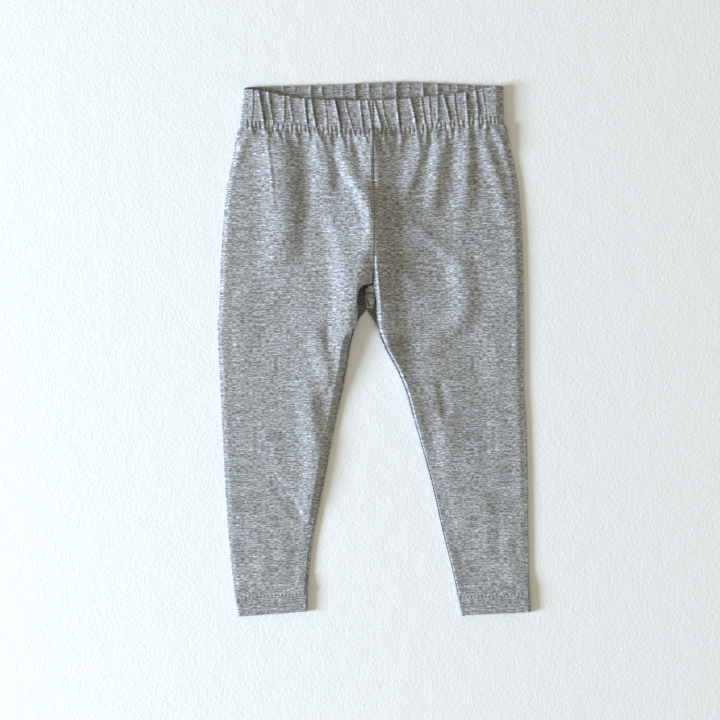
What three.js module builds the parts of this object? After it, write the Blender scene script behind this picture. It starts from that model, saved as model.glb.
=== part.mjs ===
import * as THREE from "three";

// Leggings for a small child, laid flat on a surface with the front up.
// Millimetres, +X towards the wearer's left leg, +Y towards the waist, +Z up.
// The origin is on the surface, under the middle of the outline.

// Thicknesses and gaps
const clothWall = 1.1; // one layer of brushed jersey
const hemWall = 1.8; // jersey turned up once
const casingWall = 2.1; // jersey turned down over flat elastic
const layerGap = 0.5; // between the two layers of a leg
const seamGap = 0.3; // between neighbouring pieces
const halfSeam = seamGap / 2;

// Heights along the legs
const waistY = 168; // nominal top of the leg pieces
const hemTopY = -196; // nominal foot of the leg pieces
const frontCrotchY = 54; // the centre front seam ends above this height
const backCrotchY = 32; // the centre back seam ends at this height
const curledY = 15; // below it the inseam lies on top, just inside the edge
const hemDepth = 16;
const backFootMiddleY = 177.5; // foot of the casing's back layer, a straight line
const backFootSlope = 0.0105;
const stitchRowHalf = 4; // half the height of the gathering stitch row

// Shape of the seams and the folded edges
const inseamReach = 2.4; // from the inner edge to the inseam, on top
const flatReach = 5; // last stretch of the back layer beside the centre back seam
const casingBase = 3.6; // underside of the casing's front layer
const waistLift = 2; // the leg's front layer rises by this much to the casing
const waistLiftReach = 30;
const hemLiftReach = 20;
const topRounding = 0.7; // the casing's folded top edge is rounded by this much

// Softness
const hipPuff = 1.5; // the front layer stands this much off the back layer over the hips
const shinPuff = 0.5;
const shinTopY = -90; // the cloth is slacker from here
const hipFootY = 40; // up to here
const edgeClear = 2; // nothing is raised this near a folded edge
const edgeFade = 9; // folds die out over this distance beside it
const crotchFade = 4; // and over this one beside the crotch hollow
const fadeSteepness = 4; // a fold rises over the first quarter of its length and sinks over the last
const rootLength = 22; // short folds run down from the gathered stitch row
const rootLean = 1 / 3; // part of a ridge's lean that its root keeps
const rootHeight = 1.1;
const rootHalfWidth = 5;
const ridgeUphill = 4.6; // half width of a casing ridge on its gentle side
const ridgeDownhill = 2.6; // and on its steep side
const backRidgeHalfWidth = 4.5;
const puckerPitch = 3.5; // the stitch row draws the cloth into small puckers
const puckerHeight = 0.45;
const puckerSpread = 0.05; // the puckers reach this far past the row, as a part of the casing's height
const ridgeFade = 4; // ridges die out over this distance beside the side fold

// Mesh steps
const frontSteps = 22;
const backSteps = 4;
const arcSteps = 3;
const hemSteps = 10;
const casingFrontSteps = 60;
const casingBackSteps = 22;
const splineSamples = 24;

// Outline of each leg: distances from the centre line at several heights.
// inner is the edge of the back layer below the crotch.
const rightOutline = [
  { y: -213, outer: 108, inner: 53.2 },
  { y: -184, outer: 112.8, inner: 52.2 },
  { y: -153, outer: 116, inner: 49 },
  { y: -124, outer: 118.2, inner: 43 },
  { y: -66, outer: 121.2, inner: 32 },
  { y: -17, outer: 123.6, inner: 21.6 },
  { y: 8, outer: 125, inner: 17.2 },
  { y: 23, outer: 125, inner: 12 },
  { y: 32, outer: 124.2, inner: 5.8 },
  { y: 72, outer: 122.4, inner: 0 },
  { y: 104, outer: 120, inner: 0 },
  { y: 131, outer: 116.4, inner: 0 },
  { y: 146, outer: 112.8, inner: 0 },
  { y: 160, outer: 110.6, inner: 0 },
  { y: 168, outer: 108.8, inner: 0 },
];
const leftOutline = [
  { y: -213, outer: 125.1, inner: 69.8 },
  { y: -184, outer: 124, inner: 64 },
  { y: -152, outer: 123.4, inner: 56 },
  { y: -104, outer: 122.8, inner: 44.8 },
  { y: -56, outer: 121.4, inner: 31.2 },
  { y: -32, outer: 120, inner: 23.2 },
  { y: -16, outer: 119.8, inner: 16 },
  { y: 0, outer: 119.8, inner: 6.4 },
  { y: 16, outer: 119.8, inner: 1.6 },
  { y: 32, outer: 119.6, inner: -5.8 },
  { y: 62, outer: 119.2, inner: 0 },
  { y: 99, outer: 117.6, inner: 0 },
  { y: 130, outer: 114, inner: 0 },
  { y: 154, outer: 108.4, inner: 0 },
  { y: 168, outer: 105.8, inner: 0 },
];

// Edge of each leg's front layer beside the crotch hollow
const rightHollow = [
  { y: 15, edge: 17.3 },
  { y: 23, edge: 14.4 },
  { y: 32, edge: 12.8 },
  { y: 44, edge: 12.4 },
  { y: 50, edge: 7.5 },
  { y: 54, edge: 1.4 },
];
const leftHollow = [
  { y: 15, edge: 4.4 },
  { y: 23, edge: 2.2 },
  { y: 32, edge: 1.6 },
  { y: 44, edge: -0.6 },
  { y: 50, edge: -1 },
  { y: 54, edge: -1.1 },
];

// The centre seams, which both legs share
const centreFront = [
  { y: 45, x: -1.8 },
  { y: 70, x: 0.3 },
  { y: 140, x: -0.4 },
  { y: 200, x: -0.2 },
];
const centreBack = [
  { y: 32, x: -5.8 },
  { y: 45, x: -3.2 },
  { y: 70, x: -1.8 },
  { y: 214, x: -0.6 },
];

// Lines across the waist, from the wearer's right to left
const waistLines = [
  { x: -107, frontTop: 208.8, stitch: 180.4, backTop: 209.4 },
  { x: -90, frontTop: 206.2, stitch: 178, backTop: 210 },
  { x: -59, frontTop: 200.4, stitch: 175.6, backTop: 210.8 },
  { x: -27, frontTop: 198.8, stitch: 173.2, backTop: 211.6 },
  { x: 0, frontTop: 198.8, stitch: 172.4, backTop: 213 },
  { x: 21, frontTop: 199.6, stitch: 174, backTop: 213.6 },
  { x: 53, frontTop: 202.8, stitch: 177.2, backTop: 212.4 },
  { x: 77, frontTop: 206, stitch: 181.2, backTop: 211.2 },
  { x: 95, frontTop: 209.8, stitch: 182.8, backTop: 210.4 },
  { x: 107, frontTop: 210.6, stitch: 182.6, backTop: 210.6 },
];

// Distance of the casing's side fold from the centre line
const casingSides = [
  { y: 172, right: 107.2, left: 104 },
  { y: 192, right: 104.8, left: 103.2 },
  { y: 212, right: 103.2, left: 103.6 },
];

// Main folds of the front layer: a ridge has a positive height and a trough a negative one.
const folds = [
  { from: [-29, 172], via: [-14, 128], to: [-5, 88], halfWidth: 9, height: 2.2 },
  { from: [-30, 104], via: [-27, 52], to: [-21, -10], halfWidth: 17, height: 3.4 },
  { from: [-54, 174], via: [-54, 116], to: [-58, 80], halfWidth: 10, height: -1.5 },
  { from: [-77, 176], via: [-73, 118], to: [-80, 56], halfWidth: 17, height: 2.6 },
  { from: [-48, 22], via: [-42, -6], to: [-39, -38], halfWidth: 10, height: 1.4 },
  { from: [-48, -22], via: [-43, -80], to: [-56, -146], halfWidth: 13, height: 1.8 },
  { from: [-84, -100], via: [-68, -123], to: [-54, -144], halfWidth: 8, height: -1.2 },
  { from: [-98, 176], via: [-104, 163], to: [-112, 142], halfWidth: 7, height: 1.2 },
  { from: [-98, 66], via: [-104, 20], to: [-98, -44], halfWidth: 14, height: 0.8 },
  { from: [0, 180], via: [0, 120], to: [-2, 56], halfWidth: 14, height: 2.8 },
  { from: [18, 172], via: [16, 120], to: [24, 80], halfWidth: 11, height: -1.3 },
  { from: [38, 172], via: [29, 140], to: [18, 108], halfWidth: 8, height: 1.5 },
  { from: [50, 176], via: [44, 130], to: [38, 96], halfWidth: 10, height: 2 },
  { from: [72, 178], via: [71, 122], to: [76, 74], halfWidth: 12, height: 2.2 },
  { from: [84, 178], via: [96, 142], to: [104, 96], halfWidth: 9, height: 1.6 },
  { from: [6, 92], via: [8, 40], to: [18, -10], halfWidth: 15, height: 3 },
  { from: [4, 72], via: [20, 62], to: [38, 44], halfWidth: 8, height: 1.4 },
  { from: [60, 88], via: [79, 54], to: [70, 26], halfWidth: 13, height: 2 },
  { from: [70, 26], via: [48, 8], to: [35, -20], halfWidth: 12, height: 1.8 },
  { from: [49, -26], via: [53, -40], to: [57, -56], halfWidth: 7, height: -1.2 },
  { from: [56, -44], via: [61, -90], to: [65, -128], halfWidth: 14, height: 1.6 },
  { from: [98, -40], via: [102, -80], to: [96, -118], halfWidth: 13, height: 0.8 },
  { from: [92, -120], via: [88, -150], to: [94, -180], halfWidth: 12, height: 1 },
];

// Ridges of the gathered casing's front, which lean as they run down to the stitch row
const ridges = [
  { top: -97, foot: -99, height: 0.9 },
  { top: -89.2, foot: -86.4, height: 1.8 },
  { top: -83.2, foot: -78.4, height: 1.2 },
  { top: -73.2, foot: -71.6, height: 1.2 },
  { top: -67.2, foot: -63.2, height: 1.1 },
  { top: -57, foot: -55, height: 1.7 },
  { top: -50, foot: -46, height: 1.8 },
  { top: -40.8, foot: -37.6, height: 1.2 },
  { top: -30.4, foot: -26.4, height: 1.8 },
  { top: -20, foot: -15.2, height: 1.1 },
  { top: -12, foot: -8, height: 1.2 },
  { top: -5, foot: -1.5, height: 1.1 },
  { top: 5, foot: 9, height: 1.4 },
  { top: 15.6, foot: 21.6, height: 1.4 },
  { top: 28, foot: 34.4, height: 1.8 },
  { top: 38.4, foot: 43.2, height: 1.3 },
  { top: 47.4, foot: 51.2, height: 1.3 },
  { top: 55.6, foot: 60, height: 1.8 },
  { top: 63.2, foot: 67, height: 1.2 },
  { top: 71.6, foot: 76, height: 1.8 },
  { top: 79.6, foot: 83.2, height: 1.7 },
  { top: 88.8, foot: 90.6, height: 1.2 },
  { top: 96.4, foot: 97.4, height: 1.1 },
];

// Ridges of the back casing's inner face, seen above the sagging front edge
const backRidges = [
  { x: -93, height: 0.8 },
  { x: -84, height: 1 },
  { x: -75, height: 1.1 },
  { x: -64, height: 0.8 },
  { x: -53.5, height: 1.2 },
  { x: -43, height: 0.8 },
  { x: -34, height: 0.9 },
  { x: -25, height: 0.8 },
  { x: -16.8, height: 1.2 },
  { x: -6, height: 0.9 },
  { x: 5.6, height: 1 },
  { x: 17.6, height: 1.2 },
  { x: 28, height: 0.8 },
  { x: 38.8, height: 1.2 },
  { x: 50.4, height: 1.2 },
  { x: 60, height: 0.8 },
  { x: 69, height: 1.1 },
  { x: 79, height: 0.8 },
  { x: 89, height: 0.9 },
];

// Heights of the leg's rows, closer together at the crotch and the hips
const legZones = [
  { from: hemTopY, to: -60, steps: 7 },
  { from: -60, to: 9, steps: 5 },
  { from: 9, to: 57, steps: 8 },
  { from: 57, to: waistY, steps: 10 },
];

const { clamp, lerp, smoothstep } = THREE.MathUtils;

// A smooth function through two columns of a table.
function curveThrough(rows, along, value) {
  const places = rows.map((row) => row[along]);
  const values = rows.map((row) => row[value]);
  const curve = new THREE.CubicInterpolant(places, values, 1);
  return (place) => curve.evaluate(clamp(place, places[0], places.at(-1)))[0];
}

const centreFrontX = curveThrough(centreFront, "y", "x");
const centreBackX = curveThrough(centreBack, "y", "x");
const frontTopY = curveThrough(waistLines, "x", "frontTop");
const stitchY = curveThrough(waistLines, "x", "stitch");
const backTopY = curveThrough(waistLines, "x", "backTop");
const frontFootY = (x) => stitchY(x) - stitchRowHalf;
const backFootY = (x) => backFootMiddleY + backFootSlope * x;

// A soft bump: 1 in the middle, 0 from one half width on.
function bump(distance, halfWidth) {
  const reach = Math.min(Math.abs(distance) / halfWidth, 1);
  return 0.5 + 0.5 * Math.cos(Math.PI * reach);
}

// The line of a fold, as points on the surface.
function foldLine({ from, via, to, halfWidth, height }) {
  const points = [from, via, to].map(([x, y]) => new THREE.Vector2(x, y));
  return { points: new THREE.SplineCurve(points).getPoints(splineSamples), halfWidth, height };
}

// Each casing ridge runs on for a short way below the stitch row.
function rootOf({ top, foot }) {
  const y = frontFootY(foot);
  const x = foot + rootLean * (foot - top);
  return {
    from: [foot, y + rootLength / 3],
    via: [foot, y],
    to: [x, y - rootLength],
    halfWidth: rootHalfWidth,
    height: rootHeight,
  };
}

const foldLines = [...folds, ...ridges.map(rootOf)].map(foldLine);

// How far the folds lift the front layer at a place.
function foldLift(x, y) {
  const place = new THREE.Vector2(x, y);
  let lift = 0;
  for (const { points, halfWidth, height } of foldLines) {
    const distances = points.map((point) => point.distanceTo(place));
    const nearest = Math.min(...distances);
    if (nearest < halfWidth) {
      const along = distances.indexOf(nearest) / splineSamples;
      const fade = Math.min(1, fadeSteepness * along, fadeSteepness * (1 - along));
      lift += height * fade * bump(nearest, halfWidth);
    }
  }
  return lift;
}

// How far a table of ridges raises the casing.
function ridgeLift(x, down) {
  let lift = 0;
  for (const { top, foot, height } of ridges) {
    const offset = x - lerp(foot, top, down);
    lift += height * bump(offset, offset < 0 ? ridgeUphill : ridgeDownhill);
  }
  return lift;
}

function backRidgeLift(x) {
  let lift = 0;
  for (const ridge of backRidges) {
    lift += ridge.height * bump(x - ridge.x, backRidgeHalfWidth);
  }
  return lift;
}

// One row of a flattened tube that is open along a seam: from the seam over the top layer, round the
// outer edge, back along the surface, and, where it is curled, round the inner edge up to the seam.
// Each place has a point on the outside of the wall and one on its inside.
function tubeRow(shape) {
  const { side, front, outer, back, base, wall, curl, topSteps, floorSteps } = shape;
  const { topLift, wallLift, floorLift, frontY, backY } = shape;
  const outerRadius = (base + wall) / 2;
  const innerRadius = (base - wall) / 2;
  const outerCentre = outer - outerRadius;
  const innerCentre = back + lerp(flatReach, outerRadius, curl);
  const row = [];

  function place(outside, inside, turned) {
    const [outsideX, outsideZ] = outside;
    const [insideX, insideZ] = inside;
    const x = side * outsideX;
    const y = lerp(backY(x), frontY(x), turned);
    row.push({
      outside: new THREE.Vector3(x, y, outsideZ),
      inside: new THREE.Vector3(side * insideX, y, insideZ),
    });
  }

  for (let step = 0; step <= topSteps; step += 1) {
    const distance = lerp(front, outerCentre, step / topSteps);
    const x = side * distance;
    const under = base + topLift(x, distance);
    place([distance, under + wall + wallLift(x, distance)], [distance, under], 1);
  }
  for (let step = 1; step < arcSteps; step += 1) {
    const angle = Math.PI * (0.5 - step / arcSteps);
    const across = Math.cos(angle);
    const up = Math.sin(angle);
    place(
      [outerCentre + outerRadius * across, outerRadius + outerRadius * up],
      [outerCentre + innerRadius * across, outerRadius + innerRadius * up],
      1 - step / arcSteps,
    );
  }
  for (let step = 0; step <= floorSteps; step += 1) {
    const distance = lerp(outerCentre, innerCentre, step / floorSteps);
    place([distance, 0], [distance, wall + floorLift(side * distance, distance)], 0);
  }
  for (let step = 1; step <= arcSteps + 1; step += 1) {
    const turn = Math.min(step / arcSteps, 1);
    const angle = -Math.PI * (0.5 + turn);
    const across = Math.cos(angle);
    const up = Math.sin(angle);
    const onTop = step > arcSteps ? front - seamGap - innerCentre : 0;
    const flat = lerp(innerCentre, back, step / (arcSteps + 1));
    place(
      [
        lerp(flat, innerCentre + outerRadius * across + onTop, curl),
        lerp(0, outerRadius + outerRadius * up, curl),
      ],
      [
        lerp(flat, innerCentre + innerRadius * across + onTop, curl),
        lerp(wall + floorLift(side * flat, flat), outerRadius + innerRadius * up, curl),
      ],
      turn * curl,
    );
  }
  return row;
}

// A closed wall through rows of places.
function wallThrough(rows, side) {
  const width = rows[0].length;
  const places = rows.flat();
  const points = [...places.map((place) => place.outside), ...places.map((place) => place.inside)];
  const index = [];
  const outside = (row, column) => row * width + column;
  const inside = (row, column) => places.length + row * width + column;

  function quad(a, b, c, d) {
    if (side > 0) {
      index.push(a, b, c, a, c, d);
    } else {
      index.push(a, c, b, a, d, c);
    }
  }

  const lastRow = rows.length - 1;
  const lastColumn = width - 1;
  for (let row = 0; row < lastRow; row += 1) {
    for (let column = 0; column < lastColumn; column += 1) {
      quad(
        outside(row, column),
        outside(row, column + 1),
        outside(row + 1, column + 1),
        outside(row + 1, column),
      );
      quad(
        inside(row, column),
        inside(row + 1, column),
        inside(row + 1, column + 1),
        inside(row, column + 1),
      );
    }
    quad(outside(row, 0), outside(row + 1, 0), inside(row + 1, 0), inside(row, 0));
    quad(
      outside(row, lastColumn),
      inside(row, lastColumn),
      inside(row + 1, lastColumn),
      outside(row + 1, lastColumn),
    );
  }
  for (let column = 0; column < lastColumn; column += 1) {
    quad(outside(0, column), inside(0, column), inside(0, column + 1), outside(0, column + 1));
    quad(
      outside(lastRow, column),
      outside(lastRow, column + 1),
      inside(lastRow, column + 1),
      inside(lastRow, column),
    );
  }
  const geometry = new THREE.BufferGeometry().setFromPoints(points);
  geometry.setIndex(index);
  geometry.computeVertexNormals();
  return geometry;
}

// The edges of a leg at one height.
function legEdges(leg, y) {
  const { side, outerAt, innerAt, hollowAt } = leg;
  const seamless = y < backCrotchY;
  const back = seamless ? innerAt(y) + halfSeam : side * centreBackX(y) + halfSeam;
  let front = side * centreFrontX(y) + halfSeam;
  if (y < curledY) {
    front = innerAt(y) + halfSeam + inseamReach;
  } else if (y < frontCrotchY) {
    front = hollowAt(y) + halfSeam;
  }
  return { outer: outerAt(y), back, front };
}

// The slanting hem edge of a leg at a distance from the centre line.
function hemEdgeY(leg, x) {
  const distance = leg.side * x;
  const across = (distance - leg.hem.inner) / (leg.hem.outer - leg.hem.inner);
  return lerp(leg.hem.innerY, leg.hem.outerY, across);
}

const unlifted = () => 0;

// One leg: the front and the back in one piece, with the hip, the crotch and the shin.
function legGeometry(leg) {
  const rows = [];
  for (const { from, to, steps } of legZones) {
    for (let step = rows.length === 0 ? 0 : 1; step <= steps; step += 1) {
      const y = lerp(from, to, step / steps);
      const { outer, back, front } = legEdges(leg, y);
      const nearWaist = smoothstep(y, waistY - waistLiftReach, waistY);
      const nearHem = 1 - smoothstep(y, hemTopY, hemTopY + hemLiftReach);
      const base = clothWall + layerGap + waistLift * nearWaist + (hemWall - clothWall) * nearHem;
      const puff = lerp(shinPuff, hipPuff, smoothstep(y, shinTopY, hipFootY)) * (1 - nearHem);
      const follow = smoothstep(y, frontCrotchY, waistY);
      const seamFade = y < curledY ? edgeFade : crotchFade;

      const topLift = (x, distance) => {
        const fromOuter = smoothstep(outer - distance, edgeClear, edgeClear + edgeFade);
        const fromSeam = y < frontCrotchY ? smoothstep(distance - front, 0, seamFade) : 1;
        const lift = puff + foldLift(x, y) * (1 - nearHem);
        return Math.max(lift, 0) * fromOuter * fromSeam;
      };
      const hemShift = (x) => nearHem * (hemEdgeY(leg, x) + hemDepth + seamGap - hemTopY);
      rows.push(tubeRow({
        side: leg.side,
        front,
        outer,
        back,
        base,
        wall: clothWall,
        curl: 1 - smoothstep(y, curledY, backCrotchY),
        topSteps: frontSteps,
        floorSteps: backSteps,
        topLift,
        wallLift: unlifted,
        floorLift: unlifted,
        frontY: (x) => y + follow * (frontFootY(x) - seamGap - waistY) + hemShift(x),
        backY: (x) => y + follow * (backFootY(x) - seamGap - waistY) + hemShift(x),
      }));
    }
  }
  return wallThrough(rows, leg.side);
}

// One hem: the foot of the leg, turned up once.
function hemGeometry(leg) {
  const heights = [0, 0.12, 0.5, 1];
  const rows = heights.map((height) => {
    const rise = height * hemDepth;
    const y = leg.hem.innerY + rise;
    const { outer, back, front } = legEdges(leg, y);
    const edgeY = (x) => hemEdgeY(leg, x) + rise;
    return tubeRow({
      side: leg.side,
      front,
      outer,
      back,
      base: hemWall + layerGap,
      wall: hemWall,
      curl: 1,
      topSteps: hemSteps,
      floorSteps: hemSteps,
      topLift: unlifted,
      wallLift: unlifted,
      floorLift: unlifted,
      frontY: edgeY,
      backY: edgeY,
    });
  });
  return wallThrough(rows, leg.side);
}

// Half of the waist casing, gathered by its elastic into leaning ridges and small puckers.
function casingGeometry(leg) {
  const heights = [0, 0.12, 0.25, 0.45, 0.7, 0.92, 1];
  const sideAt = curveThrough(casingSides, "y", leg.casingColumn);
  const middleFoot = frontFootY(0);
  const middleTop = frontTopY(0);
  const rowHeight = (2 * stitchRowHalf) / (middleTop - middleFoot);
  const rows = heights.map((height) => {
    const y = lerp(middleFoot, middleTop, height);
    const outer = sideAt(y);
    const front = leg.side * centreFrontX(y) + halfSeam;
    const back = leg.side * centreBackX(y) + halfSeam;
    const inRow = bump(height - rowHeight / 2, rowHeight / 2 + puckerSpread);
    const rounding = height === 1 ? topRounding : 0;
    return tubeRow({
      side: leg.side,
      front,
      outer,
      back,
      base: casingBase,
      wall: casingWall,
      curl: 0,
      topSteps: casingFrontSteps,
      floorSteps: casingBackSteps,
      topLift: () => rounding,
      wallLift: (x, distance) => {
        const fade = smoothstep(outer - distance, edgeClear, edgeClear + ridgeFade);
        const pucker = puckerHeight * inRow * Math.cos((2 * Math.PI * x) / puckerPitch);
        return (ridgeLift(x, height) * (1 - inRow / 2) + pucker) * fade - 2 * rounding;
      },
      floorLift: (x, distance) => backRidgeLift(x) * smoothstep(outer - distance, ridgeFade, 2 * ridgeFade),
      frontY: (x) => lerp(frontFootY(x), frontTopY(x), height),
      backY: (x) => lerp(backFootY(x), backTopY(x), height),
    });
  });
  return wallThrough(rows, leg.side);
}

function legOf({ side, outline, hollow, casingColumn, hem }) {
  return {
    side,
    casingColumn,
    hem,
    outerAt: curveThrough(outline, "y", "outer"),
    innerAt: curveThrough(outline, "y", "inner"),
    hollowAt: curveThrough(hollow, "y", "edge"),
  };
}

const rightLeg = legOf({
  side: -1,
  outline: rightOutline,
  hollow: rightHollow,
  casingColumn: "right",
  hem: { inner: 53, innerY: -209.4, outer: 108, outerY: -213.6 },
});
const leftLeg = legOf({
  side: 1,
  outline: leftOutline,
  hollow: leftHollow,
  casingColumn: "left",
  hem: { inner: 69.8, innerY: -212.6, outer: 124.8, outerY: -210.2 },
});

function jersey(color) {
  return new THREE.MeshStandardMaterial({ color, roughness: 0.95, metalness: 0, side: THREE.FrontSide });
}

const leggings = new THREE.Group();

function addPiece(name, geometry, material) {
  const piece = new THREE.Mesh(geometry, material);
  piece.name = name;
  leggings.add(piece);
}

addPiece("leg_right", legGeometry(rightLeg), jersey(0x9ea3a8));
addPiece("leg_left", legGeometry(leftLeg), jersey(0x94999c));
addPiece("casing_right", casingGeometry(rightLeg), jersey(0x989a9b));
addPiece("casing_left", casingGeometry(leftLeg), jersey(0x96989a));
addPiece("hem_right", hemGeometry(rightLeg), jersey(0x9ba1a6));
addPiece("hem_left", hemGeometry(leftLeg), jersey(0x94989c));

export default leggings;
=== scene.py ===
import math
import bmesh
import bpy
import numpy as np
from mathutils import Matrix, Vector


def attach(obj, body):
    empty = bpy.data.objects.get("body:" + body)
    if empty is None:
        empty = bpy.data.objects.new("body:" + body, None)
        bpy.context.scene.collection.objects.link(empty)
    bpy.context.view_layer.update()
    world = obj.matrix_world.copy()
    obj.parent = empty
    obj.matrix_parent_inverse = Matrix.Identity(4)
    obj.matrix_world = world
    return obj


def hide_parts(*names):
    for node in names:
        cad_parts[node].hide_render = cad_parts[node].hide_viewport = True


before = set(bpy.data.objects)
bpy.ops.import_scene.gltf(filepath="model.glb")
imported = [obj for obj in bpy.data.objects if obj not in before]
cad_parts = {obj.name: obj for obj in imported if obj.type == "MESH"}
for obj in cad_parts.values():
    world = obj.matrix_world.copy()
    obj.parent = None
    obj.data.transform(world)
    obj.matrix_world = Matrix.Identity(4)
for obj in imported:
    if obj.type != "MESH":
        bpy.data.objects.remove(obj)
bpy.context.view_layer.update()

mm = 0.001  # lengths below are in millimetres, and meshes in metres


# Small helpers

def softStep(value, low, high):
    reach = np.clip((value - low) / (high - low), 0.0, 1.0)
    return reach * reach * (3.0 - 2.0 * reach)


def bump(offset, halfWidth):
    reach = np.minimum(np.abs(offset) / halfWidth, 1.0)
    return 0.5 + 0.5 * np.cos(math.pi * reach)


def unevenBump(offset, before, after):
    return np.where(offset < 0, bump(offset, before), bump(offset, after))


def mix(first, second, share):
    return first + (second - first) * share


def table(columns, *rows):
    return [dict(zip(columns.split(), row)) for row in rows]


def smoothCurve(rows, along, value):
    places = np.array([row[along] for row in rows], float)
    values = np.array([row[value] for row in rows], float)
    slopes = np.gradient(values, places)

    def curve(place):
        place = np.clip(place, places[0], places[-1])
        lower = np.clip(np.searchsorted(places, place) - 1, 0, len(places) - 2)
        span = places[lower + 1] - places[lower]
        t = (place - places[lower]) / span
        start = (1 + 2 * t) * (1 - t) ** 2 * values[lower] + t * (1 - t) ** 2 * span * slopes[lower]
        end = t * t * (3 - 2 * t) * values[lower + 1] + t * t * (t - 1) * span * slopes[lower + 1]
        return start + end

    return curve


# Outline: distances from the centre line, as the leggings lie

seams = {
    "gap": 0.3,
    "frontCrotchY": 51.0,     # the centre front seam ends above here
    "backCrotchY": 32.0,
    "curledY": 15.0,          # below here the inseam lies on top
    "flatReach": 5.0,
    "waistY": 168.0,
    "hemTopY": -196.0,
    "hemDepth": 16.0,
}

rightOutline = table(
    "y outer inner",
    (-213, 108.0, 53.2), (-184, 112.8, 52.2), (-153, 116.0, 49.0), (-124, 118.2, 43.0),
    (-66, 121.2, 32.0), (-17, 123.6, 21.6), (8, 125.0, 17.2), (23, 125.0, 12.0),
    (32, 124.2, 5.8), (72, 122.4, 0.0), (104, 120.0, 0.0), (131, 116.4, 0.0),
    (146, 112.8, 0.0), (160, 110.6, 0.0), (168, 108.8, 0.0),
)
leftOutline = table(
    "y outer inner",
    (-213, 125.1, 69.8), (-184, 124.0, 64.0), (-152, 123.4, 56.0), (-104, 122.8, 44.8),
    (-56, 121.4, 31.2), (-32, 120.0, 24.4), (-16, 119.8, 17.6), (0, 119.8, 8.8),
    (16, 119.8, 2.0), (32, 119.6, -5.8), (62, 119.2, 0.0), (99, 117.6, 0.0),
    (130, 114.0, 0.0), (154, 108.4, 0.0), (168, 105.8, 0.0),
)

# Edge of the front layer beside the crotch hollow
rightHollow = table(
    "y edge",
    (15, 17.3), (20, 13.6), (26, 12.8), (44, 12.6), (48, 11.4), (50, 9.6), (51, 7.6),
)
leftHollow = table(
    "y edge",
    (15, 4.4), (23, 2.2), (32, 1.6), (44, 0.4), (50, -1.0), (54, -1.1),
)

centreFront = table(
    "y x",
    (45, -1.8), (70, 0.3), (140, -0.4), (200, -0.2),
)
centreBack = table(
    "y x",
    (32, -5.8), (45, -3.2), (70, -1.8), (214, -0.6),
)

waistLines = table(
    "x frontTop stitch backTop",
    (-107, 208.8, 180.4, 209.4), (-90, 206.2, 178.0, 210.0), (-59, 200.4, 175.6, 210.8),
    (-27, 198.8, 173.2, 211.6), (0, 198.8, 172.4, 213.0), (21, 199.6, 174.0, 213.6),
    (53, 202.8, 177.2, 212.4), (77, 206.0, 181.2, 211.2), (95, 209.8, 182.8, 210.4),
    (107, 210.6, 182.6, 210.6),
)
casingSides = table(
    "y right left",
    (172, 107.2, 104.0), (192, 104.8, 103.2), (212, 103.2, 103.6),
)
stitchRowHalf = 4.0  # the gathering stitch row is 8 mm tall

centreFrontX = smoothCurve(centreFront, "y", "x")
centreBackX = smoothCurve(centreBack, "y", "x")
frontTopY = smoothCurve(waistLines, "x", "frontTop")
stitchY = smoothCurve(waistLines, "x", "stitch")
backTopY = smoothCurve(waistLines, "x", "backTop")


def frontFootY(x):
    return stitchY(x) - stitchRowHalf


def backFootY(x):
    return 177.5 + 0.0105 * x


# How deep and how wide the front rolls down towards its inner edge
rightRoll = table(
    "y depth width",
    (-213, 0.5, 1.6), (-20, 0.6, 1.8), (6, 1.6, 1.8), (16, 6.0, 1.5), (30, 9.0, 1.5),
    (48, 8.0, 1.8), (52, 3.0, 3.6), (58, 1.2, 5.0), (66, 0.3, 5.0), (78, 0.2, 4.0),
    (96, 0.0, 4.0),
)
leftRoll = table(
    "y depth width",
    (-213, 0.7, 1.4), (-20, 0.9, 1.6), (2, 1.8, 1.3), (16, 4.2, 2.0), (30, 5.4, 2.5),
    (46, 5.0, 2.0), (54, 3.4, 1.5), (62, 1.4, 1.3), (70, 0.2, 1.3), (96, 0.0, 3.0),
)

# How far the inseam lies inside the inner edge
rightInseam = table(
    "y reach",
    (-213, 1.5), (-60, 1.5), (20, 1.5),
)
leftInseam = table(
    "y reach",
    (-213, 0.5), (-150, 0.6), (-70, 1.0), (-20, 1.5), (20, 1.9),
)

rightLeg = {
    "side": -1,
    "inseamAt": smoothCurve(rightInseam, "y", "reach"),
    "welt": 0.3,              # the front stands up by this much beside the inseam
    "innerReach": 6.0,        # its folds reach their full height this far inside the inseam
    "sideReach": 4.4,         # and this far inside the outer edge
    "rollDepthAt": smoothCurve(rightRoll, "y", "depth"),
    "rollWidthAt": smoothCurve(rightRoll, "y", "width"),
    "outerAt": smoothCurve(rightOutline, "y", "outer"),
    "innerAt": smoothCurve(rightOutline, "y", "inner"),
    "hollowAt": smoothCurve(rightHollow, "y", "edge"),
    "casingAt": smoothCurve(casingSides, "y", "right"),
    "hemInner": 53.0, "hemInnerY": -209.4, "hemOuter": 108.0, "hemOuterY": -213.6,
}
leftLeg = {
    "side": 1,
    "inseamAt": smoothCurve(leftInseam, "y", "reach"),
    "welt": 0.8,
    "innerReach": 1.4,
    "sideReach": 6.0,
    "rollDepthAt": smoothCurve(leftRoll, "y", "depth"),
    "rollWidthAt": smoothCurve(leftRoll, "y", "width"),
    "outerAt": smoothCurve(leftOutline, "y", "outer"),
    "innerAt": smoothCurve(leftOutline, "y", "inner"),
    "hollowAt": smoothCurve(leftHollow, "y", "edge"),
    "casingAt": smoothCurve(casingSides, "y", "left"),
    "hemInner": 69.8, "hemInnerY": -212.6, "hemOuter": 124.8, "hemOuterY": -210.2,
}


# Folds of the front, given one by one: crest lines with the reach of each flank.
# Ridges have a positive height and troughs a negative one.

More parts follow.
